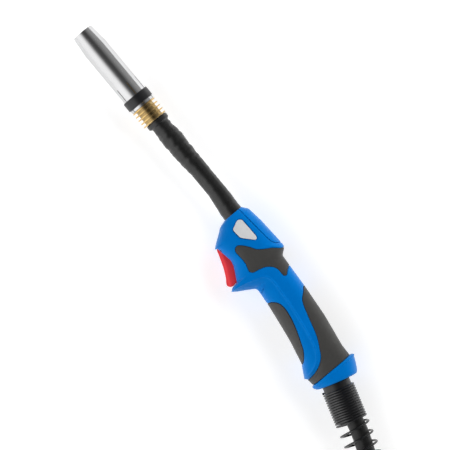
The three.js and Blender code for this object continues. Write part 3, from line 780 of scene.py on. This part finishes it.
def make_handle(look):
    outer = handle_form(0)
    cavity = handle_cavity()
    pad_floor = handle_form(PAD_DEPTH)
    pad_seat = handle_form(PAD_DEPTH + GAP)
    badge_form = handle_form(-BADGE_PROUD)
    badge_floor = handle_form(BADGE_DEPTH)
    badge_seat = handle_form(BADGE_DEPTH + GAP)
    pads = {"front": closed_outline(FRONT_PAD), "upper": closed_outline(UPPER_PAD),
            "lower": closed_outline(LOWER_PAD)}
    cap = closed_outline(CAP_OUTLINE)
    block = np.array([(-5, 30), (-5, -60), (165, -60), (165, 30)], float)
    for word, side in (("left", 1), ("right", -1)):
        shell = boolean(copy_of(outer), side_plate(block, side), "INTERSECT")
        boolean(shell, cavity, "DIFFERENCE", keep=True)
        for at in SCREWS:
            boss = (cross_rod(at, GAP / 2, 25, 3.3) if side > 0
                    else cross_rod(at, -25, -GAP / 2, 3.9))
            boolean(shell, boolean(boss, outer, "INTERSECT", keep=True), "UNION")
        for outline in pads.values():
            recess = side_plate(grown(outline, GAP), side)
            boolean(shell, boolean(recess, pad_seat, "DIFFERENCE", keep=True), "DIFFERENCE")
        recess = side_plate(badge_outline(GAP), side)
        boolean(shell, boolean(recess, badge_seat, "DIFFERENCE", keep=True), "DIFFERENCE")
        boolean(shell, plate(grown(cap, GAP), -40, 40), "DIFFERENCE")
        boolean(shell, rod(-6, 13, 10), "DIFFERENCE")
        boolean(shell, box((14.9, 51.4), (-60, -20), (-7.2, 7.2)), "DIFFERENCE")
        boolean(shell, cross_rod(TRIGGER_PIVOT, -10.1, 10.1, 1.8), "DIFFERENCE")
        for at in SCREWS:
            if side > 0:
                boolean(shell, cross_rod(at, -1, 10.3, 1.8), "DIFFERENCE")
            else:
                boolean(shell, cross_rod(at, -25, -12.2, 3.2), "DIFFERENCE")
                boolean(shell, cross_rod(at, -14, 1, 1.8), "DIFFERENCE")
        soften(shell, 0.42, 4, 190000)
        set_points(shell, relief(points_of(shell)))
        place(shell, f"shell_{word}", look["blue"], "handle", f"handle_shell_{word}",
              "blue_plastic", sharp=0)
        for part, outline in pads.items():
            pad = boolean(copy_of(outer), side_plate(outline, side), "INTERSECT")
            boolean(pad, pad_floor, "DIFFERENCE", keep=True)
            soften(pad, 0.36, 4)
            set_points(pad, relief(points_of(pad)))
            place(pad, f"pad_{part}_{word}", look["grip"], "handle", f"grip_{part}_{word}",
                  "grip_rubber", sharp=0)
        outline = badge_outline(0)
        badge = boolean(copy_of(badge_form), side_plate(badge_outline(-0.3), side), "INTERSECT")
        boolean(badge, badge_floor, "DIFFERENCE", keep=True)
        soften(badge, 0.24, 3)
        co = points_of(badge)
        inward, _ = distance_to(np.vstack([outline, outline[:1]]), co[:, :2])
        plain = step(np.abs(inward), 0.9, 1.35)
        co[:, 2] -= side * 0.3 * plain * step(np.abs(co[:, 2]), 16, 18)
        set_points(badge, co)
        place(badge, f"badge_plate_{word}", look["badge"], "handle", f"badge_{word}",
              "badge_silver", sharp=0)
    lid = boolean(copy_of(outer), plate(cap, -40, 40), "INTERSECT")
    tongue = boolean(plate(grown(cap, 0.6), -40, 40), pad_floor, "INTERSECT", keep=True)
    boolean(lid, tongue, "UNION")
    boolean(lid, cavity, "DIFFERENCE", keep=True)
    boolean(lid, rod(-6, 13, 10), "DIFFERENCE")
    rib = boolean(box((37, 49.5), (9.8, 20), (-9, 9)), plate(grown(cap, 0.6), -9, 9), "INTERSECT")
    boolean(lid, boolean(rib, handle_form(0.7), "INTERSECT"), "UNION")
    soften(lid, 0.4, 4)
    set_points(lid, relief(points_of(lid)))
    place(lid, "head_cap", look["blue"], "handle", "top_cap", "blue_plastic", sharp=0)
    for form in (outer, cavity, pad_floor, pad_seat, badge_form, badge_floor, badge_seat):
        drop(form)


def make_rear_ring(look):
    sections = [((161, 1.2), (161, -41.6), 19.4), ((161.6, 2.3), (161.4, -42.8), 19.9),
                ((162.8, 3.3), (162, -43.9), 20), ((165.2, 2.2), (162.9, -43.8), 20),
                ((170, 0), (164.6, -43.4), 20), ((173.4, -1.9), (165.7, -42.9), 19.8),
                ((175.6, -3.2), (166.4, -42.2), 19.4), ((176.8, -4.8), (167.2, -41), 18.6),
                ((177.1, -6.3), (167.6, -39.7), 17.6)]
    numbers = np.array([(*t, *b, h) for t, b, h in sections])
    order = np.arange(len(numbers))
    fine = np.linspace(0, len(numbers) - 1, 81)
    numbers = np.column_stack([np.interp(fine, order, column) for column in numbers.T])
    count = 110
    angle = np.pi * np.arange(count) / count
    v = np.concatenate([np.cos(angle), -np.cos(angle)])
    side = np.concatenate([np.ones(count), -np.ones(count)])
    across = side * np.maximum(0, 1 - np.abs(v) ** 2.2) ** (1 / 2.2)
    rings = []
    for tx, ty, bx, by, half in numbers:
        rings.append(np.column_stack([(tx + bx) / 2 + (tx - bx) / 2 * v,
                                      (ty + by) / 2 + (ty - by) / 2 * v, half * across]))
    ring = loft(rings)
    mouth = lathe([(-9, 0), (-9, 13.3), (3, 13.3), (12, 16.5), (17, 16.9), (17, 0)], 96, 0)
    mouth.data.transform(REAR)
    boolean(ring, mouth, "DIFFERENCE")
    soften(ring, 0.4, 6)
    co = points_of(ring)
    middle = np.array([0, -20.5, 0])
    away = co - middle
    away[:, 0] = 0
    size = np.linalg.norm(away, axis=1)
    outside = step(size, 14.5, 17)
    step_in = 0.45 * step(co[:, 0] + 0.02 * co[:, 1], 163.4, 164.4) * outside
    co -= away / np.maximum(size, 1e-6)[:, None] * step_in[:, None]
    set_points(ring, co)
    place(ring, "rear_collar", look["blue"], "handle", "rear_ring", "blue_plastic", sharp=0)


def make_screws(look):
    for i, at in enumerate(SCREWS):
        screw = cross_rod(at, -14.6, -12.5, 2.9, 48, 0.5)
        boolean(screw, cross_rod(at, -13, 10, 1.5), "UNION")
        boolean(screw, cross_rod(at, -16, -13.4, 1.4, 6), "DIFFERENCE")
        place(screw, f"screw_{i + 1}", look["steel"], "handle", f"handle_screw_{i + 1}", "steel")


def make_trigger(look):
    outline = [(15.2, -30.9), (20, -32.8), (31.7, -37.1), (40, -41.3), (43.3, -43.6),
               (45.5, -44.4), (48.3, -42.6), (49.1, -40), (48.6, -36.5), (47.8, -30), (40, -26.2),
               (32, -24.4), (20, -24.2), (16, -25.8)]
    made = plate(closed_outline(outline, 0.7), -TRIGGER_HALF, TRIGGER_HALF)
    boolean(made, cross_rod(TRIGGER_PIVOT, -9, 9, 1.6), "DIFFERENCE")
    soften(made, 0.3, 14)
    co = points_of(made)
    low_edge = along([(15, -31), (20, -32.8), (31.7, -37.1), (40, -41.3), (49, -45)], co[:, 0])
    belly = 1 - step(co[:, 1] - low_edge, 0, 4)
    co[:, 2] *= 1 - 0.16 * belly
    set_points(made, co)
    place(made, "trigger_lever", look["red"], "trigger", "trigger", "red_plastic", sharp=0)
    foot, rise, turns = -28.4, 12.6, 5
    t = np.linspace(0, 1, turns * 32 + 1)
    wire = np.column_stack([46 + 2 * np.cos(2 * np.pi * turns * t), foot + rise * t,
                            3.2 + 2 * np.sin(2 * np.pi * turns * t)])
    coil = place(sweep(wire, 0.35, 12), "return_spring", look["steel"], "handle",
                 "trigger_spring", "steel", sharp=0)
    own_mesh(coil)


# ---- Neck ----
SLEEVE = [(9, 9.4, 0.1), (0, 9.4, 0.1), (-5, 9.25, 0.25), (-12, 9.0, 0.9), (-20, 8.6, 1.6),
          (-30, 8.0, 2.1), (-40, 7.8, 2.3), (-50, 8.3, 1.95), (-58, 8.75, 1.5), (-65, 9.05, 1.25),
          (-75, 9.25, 1.25), (-80, 9.55, 1.25), (-85, 9.75, 1.25), (-90, 9.4, 1.1),
          (-95, 8.75, 1.0), (-100.5, 8.45, 0.95)]


def sleeve_point(x, turn):
    """Point on the shrunk sleeve: it sits off the axis and is lumpy over the bent core."""
    centre = np.interp(x, [p[0] for p in SLEEVE[::-1]], [p[2] for p in SLEEVE[::-1]])
    size = np.interp(x, [p[0] for p in SLEEVE[::-1]], [p[1] for p in SLEEVE[::-1]])
    collar = step(x, -101, -103.2)
    size = size + (10.65 - size) * collar
    centre = centre + (0.85 - centre) * collar
    size = size - 0.7 * step(x, -106, -107.2) ** 2
    inner = step(x, 2, -4) * (1 - collar)
    lump = (0.16 * np.sin(0.47 * x + 2.1 * np.sin(turn + 0.4)) * np.sin(2 * turn + 0.11 * x)
            + 0.11 * np.sin(0.83 * x + 1.3 + 1.7 * np.sin(2 * turn))
            + 0.07 * np.sin(1.31 * x + 3 * turn))
    busy = 0.45 + 0.9 * step(x, -50, -62) * (1 - step(x, -98, -101))
    dents = 0
    for at, where, deep, wide in ((-92, -1.2, 0.5, 3.2), (-83, -0.75, 0.4, 2.6),
                                  (-76, -1.15, 0.42, 2.4), (-69, -0.8, 0.35, 2.2),
                                  (-61, -1.2, 0.3, 2.4), (-88, 0.9, 0.25, 3),
                                  (-66, 1.1, 0.22, 3), (-96, -0.4, 0.3, 2)):
        bend = np.angle(np.exp(1j * (turn - where)))
        dents = dents - deep * np.exp(-((x - at) / wide) ** 2 - (bend / 0.45) ** 2)
    r = size + inner * (busy * lump + dents)
    return np.array([x, centre + r * math.sin(turn), r * math.cos(turn)])


def sleeve_piece(x0, x1, close_head=False):
    """Length of the sleeve from x0 down to x1, hollow."""
    stations = np.linspace(x0, x1, max(8, int(round(abs(x1 - x0) / 0.45))) + 1)
    sides = 112
    turns = 2 * np.pi * np.arange(sides) / sides
    rings = [np.array([sleeve_point(x, t) for t in turns]) for x in stations]
    bore = 6.3
    inside = [np.column_stack([np.full(sides, x), bore * np.sin(turns), bore * np.cos(turns)])
              for x in (x1, x0)]
    if close_head:
        inside[0][:, 0] = x1 + 0.2
    return closed_band(rings + inside)


def make_neck(look):
    def at(x):
        return tuple(TORCH @ Vector((x, 0, 0)))

    edges = [BEND_START - BEND_PITCH * k for k in range(BEND_JOINTS + 1)]
    place(sleeve_piece(8.6, edges[0]), "sleeve_root", look["sleeve"], "neck_root",
          "neck_sleeve_root", "sleeve_rubber")
    for k in range(BEND_JOINTS):
        piece = sleeve_piece(edges[k], edges[k + 1])
        nodes = f"neck_sleeve_{k + 1}" if k + 1 < BEND_JOINTS else ()
        place(piece, f"sleeve_bend_{k + 1}", look["sleeve"], None, nodes, "sleeve_rubber")
        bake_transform(piece)
    place(sleeve_piece(edges[-1], -107, True), "sleeve_head", look["sleeve"], "torch_head",
          "neck_sleeve_head", "sleeve_rubber")


# ---- Head ----
def make_head(look):
    rear = -107.3
    fins = [(rear, 2.6), (rear, 11.9), (rear - 0.3, 12.2)]
    for i in range(5):
        front = rear - 1.2 - 3.7 * i
        fins += [(front, 12.2), (front, 8.8)]
        if i < 4:
            fins += [(front - 2.5, 8.8), (front - 2.5, 12.2)]
    fins += [(-124, 8.8), (-124.3, 9.5), (-150, 9.5), (-150, 2.6)]
    place(lathe(fins, 128, 0.28), "fin_head", look["fins"], "torch_head", "finned_head", "brass")
    ring = lathe([(-162, 4.9), (-162, 8.4), (-150.3, 8.4), (-150.3, 4.9)], 96, 0.6)
    for i in range(4):
        hole = cross_rod((0, 0), -12, 12, 1.1, 24)
        hole.data.transform(Matrix.Translation((-157, 0, 0)) @ Matrix.Rotation(i * math.pi / 4, 4, "X"))
        boolean(ring, hole, "DIFFERENCE")
    place(ring, "gas_ring", look["ceramic"], "torch_head", "gas_diffuser", "ceramic")
    holder = [(-150.3, 2.6), (-150.3, 4.4), (-162.3, 4.4), (-162.5, 6), (-173, 6), (-176, 5),
              (-176, 2.6)]
    place(lathe(holder, 96, 0.3), "tip_seat", look["brass"], "torch_head", "tip_holder", "brass")
    tip = [(-176.3, 0.6), (-176.3, 4), (-201, 4), (-205.5, 2.7), (-205.5, 0.6)]
    place(lathe(tip, 96, 0.3), "wire_tip", look["copper"], "torch_head", "contact_tip", "copper")


def make_nozzle(look):
    wall = [(-207.8, 8.4), (-207.8, 9.8), (-203, 10.3), (-196, 10.95), (-189, 11.6),
            (-126.3, 11.6), (-126.2, 12), (-123.7, 12), (-123.7, 10), (-152, 10), (-156, 9.8),
            (-190, 9.6)]
    body = lathe(wall, 160, 0.35)
    for i in range(3):
        slot = box((-148, -120), (-0.38, 0.38), (-15, 15))
        end = cross_rod((-148, 0), -15, 15, 0.38, 20)
        boolean(slot, end, "UNION")
        slot.data.transform(Matrix.Rotation(math.radians(60 * i - 9), 4, "X"))
        boolean(body, slot, "DIFFERENCE")
    place(body, "nozzle_cup", look["nickel"], "nozzle", "gas_nozzle", "nickel_plate")
    ring = [(-135.3, 11.9), (-135.3, 12.9), (-126.6, 12.9), (-126.6, 11.9)]
    place(lathe(ring, 128, 0.45), "clamp_ring", look["black"], "nozzle", "nozzle_ring",
          "black_plastic")


# ---- Swivel and spring ----
def make_swivel(look):
    sleeve = [(8.3, 5), (8.3, 9.4), (10.6, 12.7), (46, 12.7), (46, 11.6), (26, 11.6), (26, 8.9),
              (11.7, 8.9), (11.7, 5)]
    place(lathe(sleeve, 96, 0.3), "cable_sleeve", look["black"], "swivel", "swivel_sleeve",
          "black_plastic", REAR)
    arc = [(x, math.sqrt(12.8 ** 2 - x * x)) for x in np.linspace(-10, 8, 28)]
    place(lathe([(-10, 5), *arc, (8, 5)], 96, 0), "ball", look["steel"], "swivel", "swivel_ball",
          "steel", REAR)
    place(lathe([(12, 2.6), (12, 8.4), (19.5, 8.4), (19.5, 2.6)], 96, 0.4), "crimp",
          look["brass"], "cable", "cable_fitting", "brass", REAR)
    turns = np.arange(-0.5, 18.0001, 1 / 48)
    x = 16.8 + np.where(turns < 13.5, 2.25 * turns, 2.25 * 13.5 + 9.7 * (turns - 13.5))
    x = np.convolve(np.pad(x, 6, mode="reflect", reflect_type="odd"), np.ones(13) / 13, "valid")
    wire = np.column_stack([x, 14 * np.cos(2 * np.pi * turns), 14 * np.sin(2 * np.pi * turns)])
    place(sweep(wire, 1.0), "spring", look["spring"], "swivel", "support_spring",
          "spring_steel", REAR, sharp=0)


# ---- Machine connector ----
def ribbed(first, last, count, depth):
    """Radius changer that presses round grooves into a lathe piece."""
    def shape(x, r, _):
        if first < x < last and r > 9:
            return r - depth * (0.5 - 0.5 * math.cos(2 * math.pi * count * (x - first) / (last - first)))
        return r
    return shape


def fluted(first, last, count, depth, least):
    """Radius changer that cuts grip flutes along a lathe piece."""
    def shape(x, r, turn):
        if r < least:
            return r
        ends = float(step(x, first, first + 2) * (1 - step(x, last - 2, last)))
        return r - ends * depth * (0.5 - 0.5 * math.cos(count * turn)) ** 2
    return shape


def divided(profile, length):
    """Adds points to the profile's long edges."""
    out = []
    for a, b in zip(profile, [*profile[1:], profile[0]]):
        a, b = np.array(a, float), np.array(b, float)
        steps = max(1, int(np.linalg.norm(b - a) / length))
        out += [a + (b - a) * k / steps for k in range(steps)]
    return out


def make_connector(look):
    boot = rounded([(0.8, 0), (0.8, 10.5), (34, 12.5), (36, 15), (42, 15), (42, 0)], 0.8)
    place(lathe(divided(boot, 0.5), 96, 0, ribbed(5, 32, 6, 1.1)), "plug_boot", look["cable"],
          "cable", "connector_boot", "cable_rubber", PLUG)
    housing = rounded([(42.3, 0), (42.3, 18), (48, 21), (96, 22), (98, 21), (98, 12), (94, 12),
                       (94, 0)], 1.0)
    place(lathe(divided(housing, 0.7), 192, 0, fluted(54, 92, 16, 0.9, 20)), "plug_housing",
          look["black"], "cable", "connector_housing", "black_plastic", PLUG)
    nut = rounded([(98.6, 19), (98.6, 21), (100, 23), (119, 23), (120, 22), (120, 19)], 0.5)
    place(lathe(divided(nut, 0.7), 288, 0, fluted(99.5, 119.5, 36, 0.8, 20.5)), "plug_nut",
          look["brass"], "lock_nut", "connector_nut", "brass", PLUG)
    core = [(94.3, 0), (94.3, 11.7), (98.6, 11.7), (98.6, 18.4), (118, 18.4), (118, 0)]
    place(lathe(core, 96, 0.5), "plug_body", look["black"], "cable", "connector_body",
          "black_plastic", PLUG)
    grooved = [(118.3, 1.6), (118.3, 5), (129, 5), (129, 4.2), (131.4, 4.2), (131.4, 5),
               (138, 5), (138, 1.6)]
    place(lathe(grooved, 96, 0.35), "plug_spigot", look["brass"], "cable",
          "connector_spigot", "brass", PLUG)
    for i, side in enumerate((-1, 1)):
        pin = lathe([(118.3, 0), (118.3, 1.6), (127, 1.6), (127, 0)], 40, 0.7)
        pin.data.transform(Matrix.Translation((0, 12 * side, 0)))
        place(pin, f"plug_pin_{i + 1}", look["brass"], "cable", f"control_pin_{i + 1}", "brass",
              PLUG)


# ---- CAD pieces that stay as they are ----
def finish_hidden(look):
    for node, word in (("trigger_pin", "steel"), ("union_nut", "brass"),
                       ("connecting_block", "brass"), ("liner_tube", "cable"),
                       ("micro_switch", "black"),
                       ("switch_button", "red"), ("ball_socket", "black"),
                       ("neck_root_tube", "copper"), ("neck_head_tube", "copper"),
                       *[(f"neck_link_{k}", "copper") for k in range(1, BEND_JOINTS)]):
        mesh = frame["nodes"][node].data
        mesh.materials.clear()
        mesh.materials.append(look[word])


# ---- Floor and light ----
def make_floor():
    """A light table: it glows a little, which keeps the torch's shadow faint."""
    n = Nodes("floor")
    n.link(n.ramp(n.noise(3, 3), [(0.3, (0.8, 0.8, 0.8)), (0.7, (0.82, 0.82, 0.82))]),
           n.shader.inputs["Base Color"])
    n.shader.inputs["Roughness"].default_value = 0.8
    n.shader.inputs["Specular IOR Level"].default_value = 0.2
    n.shader.inputs["Emission Color"].default_value = (1, 1, 1, 1)
    n.shader.inputs["Emission Strength"].default_value = 0.45
    size = 4
    z = -0.0003
    floor = raw([(-size, -size, z), (size, -size, z), (size, size, z), (-size, size, z)],
                [(0, 1, 2, 3)], "floor")
    floor.data.materials.append(n.material)


def make_light():
    """Long soft boxes beside the torch: a bright one below it in the picture, a dim one above."""
    world = bpy.data.worlds.new("studio")
    world.use_nodes = True
    tree = world.node_tree
    background = tree.nodes["Background"]
    coords = tree.nodes.new("ShaderNodeTexCoord")
    parts = tree.nodes.new("ShaderNodeSeparateXYZ")
    tree.links.new(coords.outputs["Generated"], parts.inputs["Vector"])
    lean = tree.nodes.new("ShaderNodeMath")
    lean.operation = "ARCTAN2"
    tree.links.new(parts.outputs["Y"], lean.inputs[0])
    tree.links.new(parts.outputs["Z"], lean.inputs[1])
    share = tree.nodes.new("ShaderNodeMapRange")
    share.inputs["From Min"].default_value = math.radians(-100)
    share.inputs["From Max"].default_value = math.radians(100)
    tree.links.new(lean.outputs["Value"], share.inputs["Value"])
    ramp = tree.nodes.new("ShaderNodeValToRGB")
    stops = [(-100, 0.9), (-60, 0.98), (-44, 0.93), (-34, 0.78), (-24, 0.5), (-14, 0.2),
             (-4, 0.08), (14, 0.05), (26, 0.07), (38, 0.14), (56, 0.24), (100, 0.33)]
    elements = ramp.color_ramp.elements
    while len(elements) < len(stops):
        elements.new(0.5)
    for element, (degrees, value) in zip(elements, stops):
        element.position = (degrees + 100) / 200
        element.color = (value, value, value, 1)
    tree.links.new(share.outputs["Result"], ramp.inputs["Fac"])
    tree.links.new(ramp.outputs["Color"], background.inputs["Color"])
    background.inputs["Strength"].default_value = 1.42
    bpy.context.scene.world = world
    bpy.context.scene.view_settings.view_transform = "Standard"
    for name, y, power in (("lamp_above", 1.2, 21), ("lamp_below", -1.2, 5)):
        data = bpy.data.lights.new(name, "AREA")
        data.size = 1.5
        data.energy = power
        lamp = bpy.data.objects.new(name, data)
        spot = Vector((0, y, 0.65))
        lamp.location = TORCH.translation + spot
        lamp.rotation_mode = "QUATERNION"
        lamp.rotation_quaternion = (-spot).to_track_quat("-Z", "Y")
        lamp.visible_glossy = False
        bpy.context.scene.collection.objects.link(lamp)


make_camera()
looks = make_materials()
make_connector(looks)
make_ties(looks)
make_cable(looks)
make_handle(looks)
make_rear_ring(looks)
make_screws(looks)
make_trigger(looks)
make_neck(looks)
make_head(looks)
make_nozzle(looks)
make_swivel(looks)
finish_hidden(looks)
make_floor()
make_light()
